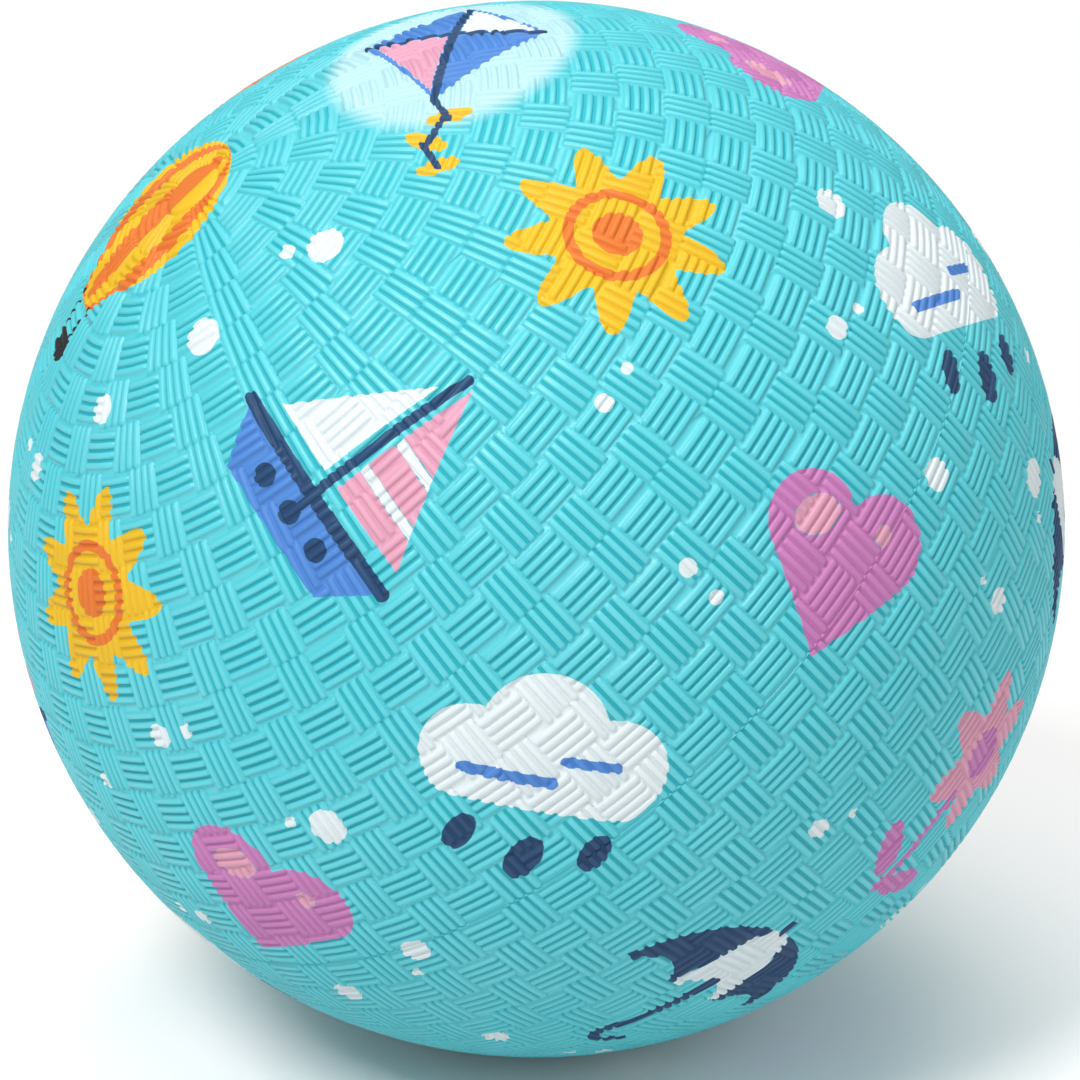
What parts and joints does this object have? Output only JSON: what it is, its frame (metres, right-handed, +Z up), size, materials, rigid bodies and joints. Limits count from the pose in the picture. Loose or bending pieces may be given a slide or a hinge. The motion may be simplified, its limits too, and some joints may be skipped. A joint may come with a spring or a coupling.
{
  "type": "dodgeball",
  "caption": "Inflatable printed rubber playground ball with a moulded basket-weave cover, an inner bladder and a needle valve.",
  "frame": {"origin": "centre of the ball", "axes": "+Z up as the ball lies on a floor, resting on its -Z side; the picture looks along +Y and down"},
  "size_m": [0.178, 0.178, 0.178],
  "materials": {
    "cover": "satin, moulded weave, printed in several inks",
    "bladder": "matte",
    "patch": "matte",
    "housing": "satin",
    "core": "satin"
  },
  "bodies": {
    "root": {"cover": "cover", "bladder": "bladder", "valve_patch": "patch", "valve_housing": "housing", "valve_core": "core"}
  },
  "joints": []
}
